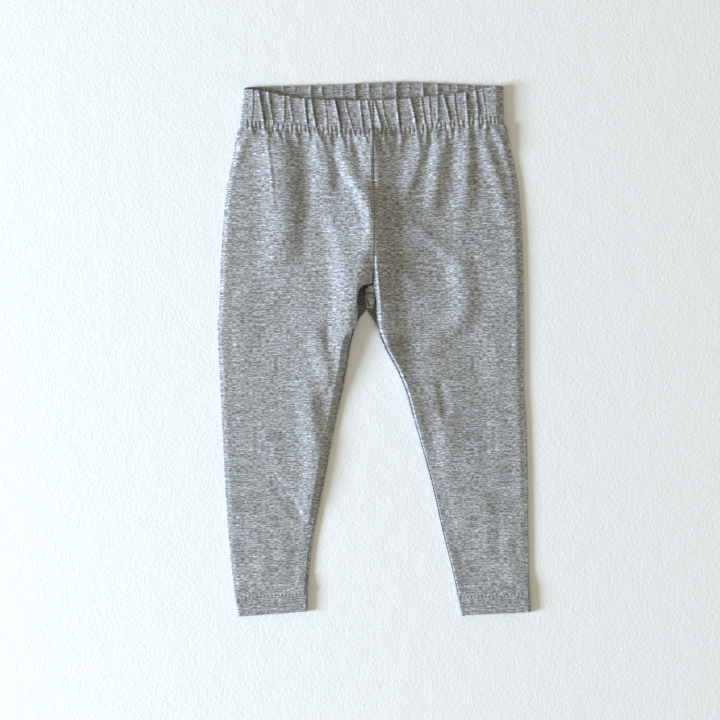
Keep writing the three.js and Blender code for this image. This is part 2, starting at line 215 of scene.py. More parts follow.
legFolds = [
    # the cloth stands highest along the inner legs and sinks towards the outer edges
    {"path": ((-20, 176), (-20, 120), (-13, 80), (-14, 50), (-22, 20), (-32, -30), (-42, -90),
              (-50, -150)),
     "left": 66, "right": 15, "height": 2.6},
    {"path": ((3, 176), (4, 120), (3, 50), (7, 14), (19, -16), (34, -56), (50, -104)),
     "left": 6, "right": 62, "height": 2.4},
    {"path": ((26, 10), (44, -30), (62, -84), (72, -130), (80, -170)),
     "left": 20, "right": 46, "height": 1.6},
    # wearer's right leg, waist
    {"path": ((-98, 176), (-104, 163), (-112, 142)), "left": 5, "right": 6, "height": 1.4},
    {"path": ((-110, 168), (-115, 130), (-119, 80), (-121, 20), (-120, -30), (-117, -80),
              (-113, -130), (-108, -196)),
     "left": 3, "right": 10, "height": 0.3},
    {"path": ((-84.5, 176), (-84.5, 160), (-82, 140), (-80.5, 122), (-80, 100)),
     "left": 2.4, "right": 3.0, "height": 1.0},
    {"path": ((-77, 178), (-77, 160), (-74, 140), (-72, 118), (-72, 96), (-76, 70), (-80, 50)),
     "left": 24, "right": 21, "height": 4.8},
    {"path": ((-54, 174), (-54, 146), (-54, 116), (-58, 92)),
     "left": 10, "right": 9, "height": -1.3},
    {"path": ((-46, 176), (-46, 163), (-45, 150)), "left": 3.4, "right": 3.4, "height": 0.8},
    {"path": ((-40, 178), (-39, 155), (-37, 138), (-36, 116)),
     "left": 13, "right": 9, "height": 2.3},
    {"path": ((-31, 180), (-25.5, 157), (-20, 141), (-12, 127), (-4.8, 111), (-2, 92),
              (-1.2, 70)),
     "left": 8, "right": 14, "height": 4.6},
    {"path": ((-20, 176), (-19, 162), (-16, 150)), "left": 3, "right": 3, "height": 0.8},
    {"path": ((-12, 176), (-10, 160), (-7, 142)), "left": 3, "right": 4, "height": 0.8},
    # centre front
    {"path": ((-3, 200), (-3, 150), (-3, 110), (-3, 70), (-5, 30)),
     "left": 28, "right": 26, "height": 4.8},
    {"path": ((-3, 206), (-3, 160), (-3.4, 110), (-3.4, 86), (-3, 66)),
     "left": 10, "right": 13, "height": 2.0},
    {"path": ((-2, 128), (-1.6, 100), (-1, 74), (1, 50)), "left": 18, "right": 26, "height": 2.4},
    # wearer's right leg, thigh
    {"path": ((-40, 132), (-31, 103), (-26.4, 80), (-25, 62), (-24, 44), (-24, 24)),
     "left": 14, "right": 44, "height": 3.8},
    {"path": ((-24, 84), (-18, 66), (-14.6, 50), (-15.4, 38), (-18.6, 22), (-20, 4),
              (-24, -18), (-34, -46)),
     "left": 20, "right": 26, "height": 5.4},
    {"path": ((-28, 100), (-27.4, 84), (-27, 68), (-28, 52), (-30, 36)),
     "left": 6, "right": 14, "height": 1.2},
    {"path": ((-48, 22), (-43, 4), (-39, -16), (-39, -38)),
     "left": 12, "right": 9, "height": 2.2},
    {"path": ((-98, 66), (-104, 30), (-104, -10), (-98, -44)),
     "left": 12, "right": 16, "height": 0.8},
    {"path": ((-62, 66), (-78, 42), (-98, 26)), "left": 9, "right": 9, "height": 0.5},
    {"path": ((-60, 12), (-78, -2), (-100, -8)), "left": 8, "right": 9, "height": 0.5},
    # wearer's right leg, shin
    {"path": ((-54, -10), (-50, -54), (-46, -88), (-50, -120), (-60, -154)),
     "left": 14, "right": 12, "height": 2.7},
    {"path": ((-84, -100), (-67, -123), (-53, -144)), "left": 7, "right": 7, "height": -1.8},
    {"path": ((-90, -60), (-78, -84), (-74, -108)), "left": 12, "right": 10, "height": 0.7},
    {"path": ((-96, -146), (-88, -168), (-94, -190)), "left": 10, "right": 9, "height": 0.6},
    {"path": ((-66, -150), (-74, -168), (-70, -188)), "left": 9, "right": 9, "height": 0.5},
    # wearer's left leg, waist
    {"path": ((11, 176), (12, 164), (13, 150)), "left": 3, "right": 3, "height": 0.8},
    {"path": ((22, 176), (21, 164), (19, 150)), "left": 3.5, "right": 4, "height": 1.0},
    {"path": ((41, 178), (36, 155), (29, 132), (21, 110)), "left": 11, "right": 7, "height": 1.9},
    {"path": ((53, 178), (51, 150), (47, 124), (42, 100)), "left": 9, "right": 12, "height": 3.0},
    {"path": ((57, 177), (57, 166), (57, 154)), "left": 3, "right": 3, "height": 0.8},
    {"path": ((74, 180), (74, 156), (74, 134), (75, 106)),
     "left": 12, "right": 10, "height": 3.0},
    {"path": ((70, 128), (70, 104), (66, 84)), "left": 12, "right": 10, "height": 1.2},
    {"path": ((84, 180), (91, 156), (98, 137), (103, 116), (105, 92)),
     "left": 9, "right": 8, "height": 1.9},
    {"path": ((93, 180), (100, 168), (106, 152)), "left": 5, "right": 5, "height": 1.0},
    # wearer's left leg, thigh
    {"path": ((1.2, 80), (2, 65), (4, 47), (5.2, 31), (6.8, 12), (13, -10), (22, -28)),
     "left": 1.9, "right": 22, "height": 5.0},
    {"path": ((8, 16), (14.4, -8), (23.2, -28), (30, -46), (37, -68), (44, -94)),
     "left": 1.8, "right": 16, "height": 2.5},
    {"path": ((4, 72), (15, 66), (27, 56), (38, 44)), "left": 6, "right": 9, "height": 1.5},
    {"path": ((18, 102), (36, 94), (52, 82), (62, 70)), "left": 8, "right": 9, "height": 1.2},
    {"path": ((58, 92), (66, 72), (71, 52), (73, 38), (67, 22), (52, 10), (38, -3), (33, -14)),
     "left": 14, "right": 15, "height": 2.4},
    {"path": ((104, 150), (111, 100), (113, 40), (113.5, -30), (116, -100), (118, -180)),
     "left": 13, "right": 5.5, "height": 0.5},
    {"path": ((88, 30), (98, 0), (92, -36)), "left": 12, "right": 12, "height": 0.7},
    # wearer's left leg, shin
    {"path": ((52, -22), (55, -40), (59, -60)), "left": 6, "right": 8, "height": -1.3},
    {"path": ((50, -40), (57, -62), (56, -84), (55, -104), (60, -130)),
     "left": 11, "right": 16, "height": 1.1},
    {"path": ((98, -40), (102, -80), (96, -118)), "left": 14, "right": 12, "height": 0.8},
    {"path": ((84, -112), (92, -140), (86, -170)), "left": 12, "right": 11, "height": 0.8},
    {"path": ((106, -130), (108, -160), (114, -190)), "left": 9, "right": 8, "height": 0.5},
]

# Folds pressed into the back, which lies on the surface
backFolds = [
    {"path": ((-70, 172), (-74, 130), (-84, 84)), "left": 9, "right": 9, "height": 0.7},
    {"path": ((-34, 172), (-30, 120), (-16, 66)), "left": 9, "right": 9, "height": 0.8},
    {"path": ((38, 172), (33, 120), (18, 62)), "left": 9, "right": 9, "height": 0.8},
    {"path": ((76, 172), (80, 126), (92, 90)), "left": 8, "right": 8, "height": 0.7},
    {"path": ((-30, 30), (-52, 12), (-84, 4)), "left": 8, "right": 8, "height": 0.6},
    {"path": ((26, 28), (50, 8), (84, 0)), "left": 8, "right": 8, "height": 0.6},
    {"path": ((-60, -40), (-66, -84), (-80, -120)), "left": 9, "right": 9, "height": 0.5},
    {"path": ((70, -50), (78, -92), (94, -130)), "left": 9, "right": 9, "height": 0.5},
]

casingRidges = table(
    "top foot height slit",
    (-97.0, -98.0, 0.5, 0.3), (-90.4, -86.8, 1.9, 2.6), (-84.4, -78.4, 1.3, 0.9),
    (-73.0, -72.0, 0.7, 0.5), (-67.6, -63.6, 0.8, 0.0), (-54.0, -52.4, 1.3, 2.2),
    (-50.8, -44.6, 1.7, 2.3), (-41.0, -36.6, 0.7, 0.3), (-30.4, -26.2, 1.8, 2.4),
    (-22.4, -14.8, 0.7, 0.7), (-12.8, -7.8, 1.1, 1.1), (-6.4, -1.4, 1.0, 1.4),
    (1.4, 7.4, 1.3, 1.0), (6.2, 13.4, 0.8, 0.4), (15.6, 21.2, 1.4, 1.8),
    (28.6, 34.2, 1.7, 1.7), (38.8, 41.8, 1.2, 1.0), (42.8, 47.0, 0.7, 0.8),
    (48.8, 50.4, 1.0, 0.4), (56.0, 61.2, 1.8, 1.7), (64.8, 67.2, 0.5, 0.8),
    (71.6, 75.6, 1.6, 2.4), (79.6, 83.4, 1.7, 1.2), (87.6, 89.8, 0.4, 0.2),
)
backRidges = table(
    "x height",
    (-93.0, 0.4), (-84.0, 0.5), (-72.0, 1.2), (-63.0, 0.5), (-50.4, 1.4), (-41.6, 1.0),
    (-33.0, 0.4), (-25.0, 0.6), (-15.2, 1.8), (-4.0, 1.0), (6.4, 0.7), (17.6, 1.8),
    (28.0, 0.5), (39.2, 1.7), (50.8, 1.5), (60.0, 0.4), (66.8, 0.9), (75.2, 0.8),
    (80.8, 0.8), (90.0, 0.4),
)


def foldPoints(fold):
    # a smooth line through the fold's own points
    places = np.arange(len(fold["path"]), dtype=float)
    rows = [{"at": at, "x": x, "y": y} for at, (x, y) in zip(places, fold["path"])]
    fine = np.linspace(0, places[-1], 8 * (len(rows) - 1) + 1)
    return np.stack([smoothCurve(rows, "at", "x")(fine), smoothCurve(rows, "at", "y")(fine)], axis=1)


def foldLift(x, y, folds):
    lift = np.zeros_like(x)
    for fold in folds:
        points = foldPoints(fold)
        reach = max(fold["left"], fold["right"])
        low, high = points.min(axis=0) - reach, points.max(axis=0) + reach
        near = np.flatnonzero((x > low[0]) & (x < high[0]) & (y > low[1]) & (y < high[1]))
        if not len(near):
            continue
        best = np.full(len(near), 1e9)
        along = np.zeros(len(near))
        width = np.full(len(near), float(reach))
        steps = len(points) - 1
        for step in range(steps):
            start, span = points[step], points[step + 1] - points[step]
            toX, toY = x[near] - start[0], y[near] - start[1]
            share = np.clip((toX * span[0] + toY * span[1]) / span.dot(span), 0.0, 1.0)
            distance = np.hypot(toX - share * span[0], toY - share * span[1])
            closer = distance < best
            onRight = span[0] * toY - span[1] * toX > 0
            best = np.where(closer, distance, best)
            along = np.where(closer, (step + share) / steps, along)
            width = np.where(closer, np.where(onRight, fold["right"], fold["left"]), width)
        fade = softStep(along, 0.0, 0.22) * softStep(1.0 - along, 0.0, 0.3)
        lift[near] += fold["height"] * fade * bump(best, width)
    return lift


ruching = {
    "rise": 1.35,           # reach of a ridge's lit side
    "drop": 0.7,            # and of its steep side
    "broadRise": 4.0,       # the low swell that it stands on
    "broadDrop": 7.0,
    "crest": 1.0,           # how much of the heights in casingRidges goes into the crest
    "swell": 0.3,           # and into the swell
    "slitAway": 1.3,        # the slit lies this far beside the crest
    "slitReach": 0.9,
    "puckerPitch": 3.6,
    "puckerHeight": 1.7,
    "rowKeeps": 0.35,       # part of a ridge that the stitch row leaves
    "rootLength": 21.0,
    "rootHeight": 1.2,
    "rootReach": 2.3,
    "endX": 97.6,           # the casing stands up to here at the wearer's left, and then drops
    "endHeight": 1.3,
}


def ridgeLift(x, up):
    # small pleats: a narrow crest on a low swell, with a slit beside it
    lift = np.zeros_like(x)
    for count, ridge in enumerate(casingRidges):
        wander = 0.8 * np.sin(2.6 * up + 1.7 * count) - 0.8 * math.sin(1.7 * count)
        offset = x - mix(ridge["foot"], ridge["top"], up) - wander
        size = ridge["height"] * (0.8 + 0.2 * np.sin(3.4 * up + 2.1 * count))
        crest = unevenBump(offset, ruching["rise"], ruching["drop"])
        swell = unevenBump(offset, ruching["broadRise"], ruching["broadDrop"])
        lift += size * (ruching["crest"] * crest + ruching["swell"] * swell)
        opening = 0.75 + 0.25 * np.sin(4.1 * up + 1.3 * count)
        lift -= ridge["slit"] * opening * bump(offset - ruching["slitAway"], ruching["slitReach"])
    unevenness = 0.3 * np.sin(x / 5.1 + 0.8 * up) * np.sin(x / 13.7 + 2.0)
    unevenness = unevenness + 0.12 * np.sin(x / 3.1 - up)
    end = softStep(x, ruching["endX"] - 14.0, ruching["endX"] - 2.0)
    end = end * (1 - softStep(x, ruching["endX"], ruching["endX"] + 1.8))
    return lift + unevenness + ruching["endHeight"] * end


def rootLift(x, below):
    # each ridge dies out below the stitch row, over its own length
    lift = np.zeros_like(x)
    for count, ridge in enumerate(casingRidges):
        lean = (ridge["foot"] - ridge["top"]) / 30.0 - ridge["foot"] / 400.0
        length = ruching["rootLength"] * (0.5 + 0.7 * math.sin(2.4 * count + 0.6) ** 2)
        offset = x - ridge["foot"] - lean * below
        along = softStep(below, -1.0, 5.0) * (1.0 - softStep(below, 5.0, length))
        reach = ruching["rootReach"] + 0.14 * np.maximum(below, 0)
        lift += ruching["rootHeight"] * along * unevenBump(offset, reach, 0.8 * reach)
    return lift


def puckerLift(x, fromRow):
    # round little gathers with narrow slits between them, of uneven width
    pitch = ruching["puckerPitch"]
    phase = math.pi * x / pitch + 0.4 * np.sin(x / 7.3) + 0.25 * np.sin(x / 4.9 + fromRow / 2.5)
    size = 0.8 + 0.2 * np.sin(x / 3.7) * np.sin(x / 11.0 + 1.0)
    tall = 3.6 + 0.9 * np.sin(x / 6.1 + 0.4)
    rounded = np.abs(np.sin(phase)) ** 0.5 - 0.7
    nearRow = 1.0 - softStep(np.abs(fromRow), tall - 1.6, tall + 1.2)
    return ruching["puckerHeight"] * size * rounded * nearRow


fullness = {
    "shin": 0.5,            # the front stands off the back by this much, apart from its folds
    "thigh": 1.3,
    "shinY": -90.0,
    "thighY": 40.0,
    "slack": 0.16,          # faint unevenness of cloth that nobody has pressed
    "fineSlack": 0.05,
    "waistRise": 36.0,      # the front rises to the casing over this length
    "hemRise": 20.0,        # and to the hem over this one
}


def slackLift(x, y):
    wave = np.sin(x / 9.7 + y / 23.0) * np.sin(y / 13.1 - x / 31.0 + 1.3)
    finer = np.sin(x / 4.3 - y / 9.1 + 0.7) * np.sin(y / 6.7 + x / 12.0)
    return fullness["slack"] * wave + fullness["fineSlack"] * finer


# The cross section of a leg, the hem or the casing: a flattened tube

thickness = {
    "legTop": 2.3,        # top of the front layer where it lies flat
    "casingTop": 5.7,
    "casingSide": 4.9,    # and at its side folds
    "casingWall": 2.1,
    "hemTop": 4.1,
    "hemWall": 1.8,
    "cloth": 0.9,
    "casingCloth": 0.7,
    "hemCloth": 0.8,
    "lowest": 1.9,        # the front layer never sinks below this, where the back is under it
}

casingSideReach = 7.0  # how far from a side fold the casing reaches its full height

# parts of the columns that end with the front, the outer fold, the back and the inner fold
legShares = (0.66, 0.72, 0.92, 0.965)
casingShares = (0.66, 0.69, 0.985, 0.995)


def legEdges(leg, y):
    side, half = leg["side"], seams["gap"] / 2
    below = y < seams["backCrotchY"]
    back = np.where(below, leg["innerAt"](y), side * centreBackX(y)) + half
    front = side * centreFrontX(y) + half
    front = np.where(y < seams["frontCrotchY"], leg["hollowAt"](y) + half, front)
    front = np.where(y < seams["curledY"], leg["innerAt"](y) + half + leg["inseamAt"](y), front)
    return front, leg["outerAt"](y), back


def tubeSection(across, parts, front, outer, back, radius, curl):
    # distance from the centre line, height, outward direction, share of the front and length of cloth
    outerCentre = outer - radius
    innerCentre = back + mix(seams["flatReach"], radius, curl)
    starts, ends = (0, *parts), (*parts, 1.0)
    t = [np.clip((across - low) / (high - low), 0, 1) for low, high in zip(starts, ends)]
    fromFront = t[0] ** 1.2  # closer columns by the centre seam
    zones = [across <= end for end in parts] + [across <= 1.1]
    outAngle = math.pi * (0.5 - t[1])
    inAngle = -math.pi * (0.5 + t[3])
    flatFold = mix(innerCentre, back, 0.8 * t[3])
    flatStrip = mix(innerCentre, back, 0.8 + 0.2 * t[4])
    strip = t[4] * (front - seams["gap"] - innerCentre)
    distance = np.select(zones, [
        mix(front, outerCentre, fromFront),
        outerCentre + radius * np.cos(outAngle),
        mix(outerCentre, innerCentre, t[2]),
        mix(flatFold, innerCentre + radius * np.cos(inAngle), curl),
        mix(flatStrip, innerCentre + strip, curl),
    ])
    height = np.select(zones, [
        2 * radius,
        radius + radius * np.sin(outAngle),
        0 * radius,
        curl * (radius + radius * np.sin(inAngle)),
        curl * 2 * radius,
    ])
    outX = np.select(zones, [
        0 * radius,
        np.cos(outAngle),
        0 * radius,
        curl * np.cos(inAngle),
        0 * radius,
    ])
    outZ = np.select(zones, [
        1 + 0 * radius,
        np.sin(outAngle),
        -1 + 0 * radius,
        mix(-1.0, np.sin(inAngle), curl),
        mix(-1.0, 1.0, curl),
    ])
    ahead = np.select(zones, [1 + 0 * t[0], 1 - t[1], 0 * t[2], curl * t[3], curl + 0 * t[4]])
    pastFold = outerCentre + math.pi * radius
    pastBack = pastFold + outerCentre - innerCentre
    cloth = np.select(zones, [
        mix(front, outerCentre, fromFront),
        outerCentre + math.pi * radius * t[1],
        pastFold + (outerCentre - innerCentre) * t[2],
        pastBack + math.pi * radius * t[3],
        pastBack + math.pi * radius + 2.0 * t[4],
    ])
    return distance, height, outX, outZ, ahead, cloth


def hemEdgeY(leg, x):
    share = (leg["side"] * x - leg["hemInner"]) / (leg["hemOuter"] - leg["hemInner"])
    return mix(leg["hemInnerY"], leg["hemOuterY"], share)


def aboveHem(leg, x, y):
    return y - hemEdgeY(leg, x) - seams["hemDepth"]


def frontBase(leg, x, y):
    # height of the front layer before its folds: it rises towards the casing and towards the hem
    toWaist = softStep(y - stitchY(x), -fullness["waistRise"], -1.0)
    toHem = 1.0 - softStep(aboveHem(leg, x, y), -1.0, fullness["hemRise"])
    rise = (thickness["casingTop"] - thickness["legTop"]) * toWaist
    return thickness["legTop"] + rise + (thickness["hemTop"] - thickness["legTop"]) * toHem


frontSeam = {
    "rightDrop": 0.9, "rightReach": 0.9,     # the right half rolls down to the seam
    "leftDrop": 0.55, "leftReach": 3.5,      # and the left half starts lower
    "lip": 0.25, "lipAway": 2.0, "lipReach": 1.2,
}


def seamGroove(x, y):
    away = x - centreFrontX(y)
    right = -frontSeam["rightDrop"] * np.exp(-(away / frontSeam["rightReach"]) ** 2)
    left = -frontSeam["leftDrop"] * np.exp(-(away / frontSeam["leftReach"]) ** 2)
    lip = frontSeam["lip"] * np.exp(-((away + frontSeam["lipAway"]) / frontSeam["lipReach"]) ** 2)
    return (np.where(away < 0, right, left) + lip) * softStep(y, 50.0, 60.0)


def frontLift(leg, x, y):
    # everything that stands up from the front: folds, slack, ridges, roots and puckers
    fromRow = y - stitchY(x)
    up = (fromRow + stitchRowHalf) / (frontTopY(x) - frontFootY(x))
    clearOfHem = softStep(aboveHem(leg, x, y), -4.0, 16.0)
    higher = softStep(y, fullness["shinY"], fullness["thighY"])
    puff = mix(fullness["shin"], fullness["thigh"], higher) * clearOfHem
    puff = puff * (1 - softStep(fromRow, -26.0, -2.0))
    folds = foldLift(x, y, legFolds) * clearOfHem * (1 - softStep(fromRow, -2.0, 6.0))
    lift = np.maximum(puff + folds, 0.0) + slackLift(x, y) * clearOfHem
    keeps = mix(ruching["rowKeeps"], 1.0, softStep(fromRow, 1.0, 7.0)) * softStep(fromRow, -8.0, -1.0)
    lift += ridgeLift(x, np.maximum(up, 0)) * keeps
    lift += rootLift(x, -fromRow) * (1 - softStep(fromRow, -1.0, 4.0))
    lift += puckerLift(x, fromRow) + seamGroove(x, y)
    return lift


def edgeRoll(leg, y, fromEdge):
    # the front sinks towards the centre seam near the crotch, and rolls over beside the hollow
    share = np.clip(fromEdge / leg["rollWidthAt"](y), 0, 1)
    return -leg["rollDepthAt"](y) * (1 - share) ** 2


def addObject(name, data):
    thing = bpy.data.objects.new(name, data)
    bpy.context.scene.collection.objects.link(thing)
    return thing


def pieceFrom(name, bm):
    mesh = bpy.data.meshes.new(name)
    bm.to_mesh(mesh)
    bm.free()
    return addObject(name, mesh)


def gridOf(name, counts, shape, slotOf=None, turned=False):
    # a flat grid whose every point is then laid where the cloth goes
    bm = bmesh.new()
    bm.loops.layers.uv.new("cloth")
    bmesh.ops.create_grid(bm, x_segments=counts[0], y_segments=counts[1], size=0.5)
    flat = np.array([vert.co[:2] for vert in bm.verts]) + 0.5
    places, cloth = shape(flat[:, 0], flat[:, 1])
    for vert, place in zip(bm.verts, places):
        vert.co = Vector(place) * mm
    for edge in bm.edges:
        edge.smooth = not edge.is_boundary
    layer = bm.loops.layers.uv["cloth"]
    for face in bm.faces:
        face.smooth = True
        if slotOf:
            face.material_index = slotOf(*flat[face.verts[0].index])
        for loop in face.loops:
            loop[layer].uv = cloth[loop.vert.index] * mm
    if turned:
        bmesh.ops.reverse_faces(bm, faces=bm.faces)
    return pieceFrom(name, bm)


def thicken(piece, depth, insideSlot=0):
    wall = piece.modifiers.new("wall", "SOLIDIFY")
    wall.thickness = depth * mm
    wall.offset = -1.0
    wall.use_rim = True
    wall.material_offset = insideSlot


def legShape(leg):
    side = leg["side"]

    def shape(across, along):
        closer = along + 0.22 * np.sin(math.pi * along) / math.pi  # closer rows towards the waist
        y = mix(seams["hemTopY"], seams["waistY"], closer)
        front, outer, back = legEdges(leg, y)
        curl = 1.0 - softStep(y, seams["curledY"], seams["backCrotchY"])
        follow = softStep(y, seams["frontCrotchY"], seams["waistY"])
        sideX = side * outer
        sideY = y + follow * (frontFootY(sideX) - seams["waistY"])
        radius = frontBase(leg, sideX, sideY) / 2
        distance, height, _, _, ahead, cloth = tubeSection(
            across, legShares, front, outer, back, radius, curl)
        x = side * distance
        nearHem = 1.0 - softStep(y, seams["hemTopY"], seams["hemTopY"] + 20.0)
        hemShift = nearHem * (hemEdgeY(leg, x) + seams["hemDepth"] - seams["hemTopY"])
        frontY = y + follow * (frontFootY(x) - seams["waistY"]) + hemShift
        backY = y + follow * (backFootY(x) - seams["waistY"]) + hemShift
        yNow = mix(backY, frontY, ahead)

        fromSeam = distance - front
        fromOuter = softStep(outer - distance, 0.5, leg["sideReach"])
        inseam = 1.0 - softStep(y, -2.0, 16.0)
        fromInner = mix(1.0, softStep(fromSeam, 0.0, leg["innerReach"]), inseam)
        lift = frontLift(leg, x, yNow) + frontBase(leg, x, yNow) - 2 * radius
        welt = leg["welt"] * inseam * softStep(fromSeam, 0.0, 0.7)
        welt = welt * (1 - softStep(fromSeam, 0.7, 10.0))
        top = 2 * radius + lift * fromOuter * fromInner + welt + edgeRoll(leg, y, fromSeam)
        top = np.maximum(top, thickness["lowest"])
        floorLift = foldLift(x, yNow, backFolds) * softStep(outer - distance, 2, 12)
        floorLift = floorLift * softStep(distance - back, 2, 12)
        onFloor = ((across > legShares[1]) & (across <= legShares[2])).astype(float)
        onStrip = curl * (across > legShares[3])
        stripDrop = -leg["rollDepthAt"](y) * inseam * onStrip
        below = height + onFloor * np.maximum(floorLift, 0) + stripDrop
        z = np.where(across <= legShares[0], top, below)
        return np.stack([x, yNow, z], axis=1), np.stack([cloth, y], axis=1)

    return shape


def turnedBand(leg, band):
    # cloth that runs out to a folded edge and turns back inside, as a casing or a hem does
    side = leg["side"]
    foldStart, foldEnd = band["outside"], band["outside"] + band["fold"]

    def shape(across, along):
        up = np.clip(along / foldStart, 0, 1)
        turn = math.pi * np.clip((along - foldStart) / (foldEnd - foldStart), 0, 1)
        down = np.clip((along - foldEnd) / (1 - foldEnd), 0, 1)
        up = np.where(along > foldEnd, 1 - 0.85 * down, up)
        y = band["nominal"](up)
        front, outer, back = band["edges"](y)
        radius = band["top"] / 2 + 0 * up
        curl = band["curl"] + 0 * up
        distance, height, outX, outZ, ahead, cloth = tubeSection(
            across, band["parts"], front, outer, back, radius, curl)
        x = side * distance
        frontFoot, backFoot = band["feet"][0](x), band["feet"][1](x)
        frontEdge, backEdge = band["rims"][0](x), band["rims"][1](x)
        foot = mix(backFoot, frontFoot, ahead)
        edge = mix(backEdge, frontEdge, ahead)
        towards = np.sign(edge - foot)
        roll = band["wall"] / 2
        yNow = mix(foot, edge - towards * roll, up) + towards * roll * np.sin(turn)
        onTop = (across <= band["parts"][0]).astype(float)
        onFloor = (1 - band["curl"]) * (across > band["parts"][1])
        fromOuter = softStep(outer - distance, 0.3, casingSideReach)
        lift = band["lift"](leg, x, yNow) + band["follows"] * (frontBase(leg, x, yNow) - band["top"])
        z = height + onTop * fromOuter * lift + onFloor * fromOuter * band["floorLift"](x, up)
        z = z - band["stripDrop"] * (across > band["parts"][3])
        inwards = roll * (1 - np.cos(turn))
        x = x - side * outX * inwards
        z = z - outZ * inwards
        clothY = np.where(along > foldEnd, edge + (edge - yNow), yNow)
        return np.stack([x, yNow, z], axis=1), np.stack([cloth, clothY], axis=1)

    return shape


backRuching = {
    "lean": 1.5,
    "rise": 1.7, "drop": 0.8, "crest": 0.8,
    "broadRise": 4.0, "broadDrop": 4.5, "swell": 0.3,
    "height": 0.9,
    "thicker": 0.3,           # away from its folded edge
}


def backRidgeLift(x, up):
    lift = np.zeros_like(x)
    for ridge in backRidges:
        offset = x - ridge["x"] - backRuching["lean"] * (1 - up)
        crest = unevenBump(offset, backRuching["rise"], backRuching["drop"])
        swell = unevenBump(offset, backRuching["broadRise"], backRuching["broadDrop"])
        both = backRuching["crest"] * crest + backRuching["swell"] * swell
        lift += backRuching["height"] * ridge["height"] * both
    return lift + backRuching["thicker"] * (1.0 - softStep(up, 0.45, 1.0))


def casingSlot(across, along):
    # 0: outside; 1: the back's inner face, in a darker jersey that paints the shade the front casts on it;
    #    2: by the side fold and behind the front's edge, in a much darker jersey that paints the shade of
    #    the crevices there
    if across > casingShares[1]:
        byFold = across < casingShares[1] + 0.04
        return (1 + byFold) * int(along > 0.68)
    return 2 * int(along > 0.69)


def casingShape(leg):
    middleFoot, middleTop = float(frontFootY(0.0)), float(frontTopY(0.0))

    def edges(y):
        side, half = leg["side"], seams["gap"] / 2
        return side * centreFrontX(y) + half, leg["casingAt"](y), side * centreBackX(y) + half

    return turnedBand(leg, {
        "outside": 0.62, "fold": 0.12,
        "nominal": lambda up: mix(middleFoot, middleTop, up),
        "edges": edges,
        "parts": casingShares,
        "curl": 0.0,
        "top": thickness["casingSide"],
        "wall": thickness["casingWall"],
        "feet": (frontFootY, backFootY),
        "rims": (frontTopY, backTopY),
        "follows": 1.0,
        "lift": frontLift,
        "floorLift": backRidgeLift,
        "stripDrop": 0.0,
    })


def hemLift(leg, x, y):
    up = (y - hemEdgeY(leg, x)) / seams["hemDepth"]
    ripple = 0.22 * np.sin(x / 2.1) * np.sin(x / 6.3 + 0.6) * softStep(up, 0.5, 1.0)
    edge = 0.25 * np.sin(x / 7.0 + 1.0) * (1 - softStep(up, 0.0, 0.5))
    fromRow = seams["hemDepth"] * up - stitches["hemRows"][0]
    pulled = (0.5 + 0.5 * np.cos(2 * math.pi * x / stitches["pitch"] + 0.6 * np.sin(x / 6.0))) ** 2
    return ripple + edge - stitches["hemDent"] * pulled * bump(fromRow, 1.9)


def hemShape(leg):
    bottom = leg["hemInnerY"]

    def foot(x):
        return hemEdgeY(leg, x) + seams["hemDepth"]

    def frontRim(x):
        return hemEdgeY(leg, x) + 0.7 + 0.3 * np.sin(x / 6.1)

    def backRim(x):
        return hemEdgeY(leg, x)

    return turnedBand(leg, {
        "outside": 0.5, "fold": 0.14,
        "nominal": lambda up: bottom + seams["hemDepth"] * (1 - up),
        "edges": lambda y: legEdges(leg, y),
        "parts": legShares,
        "curl": 1.0,
        "top": thickness["hemTop"],
        "wall": thickness["hemWall"],
        "feet": (foot, foot),
        "rims": (frontRim, backRim),
        "follows": 0.0,
        "lift": hemLift,
        "floorLift": lambda x, up: 0 * x,
        "stripDrop": 0.9,
    })


# Where the four seams meet, a small lump of folded seam allowance shows in the hollow

crotchJoin = {
    "x": -3.0, "y": 42.6, "halfWidth": 4.3, "halfLength": 10.2,
    "base": 1.0, "height": 5.6, "topRise": 3.6,
    "creaseY": 45.0, "creaseDepth": 2.6, "creaseReach": 0.7,   # under the end of the front seam
    "slitAway": 1.9, "slitY": 38.0, "slitLean": 0.3, "slitDepth": 3.4, "slitReach": 0.55,
    "knot": 1.5, "knotAway": 1.6, "knotY": 40.0,               # a lump beside the slit
    "lowSide": 1.5,                                            # lower at the wearer's left
}


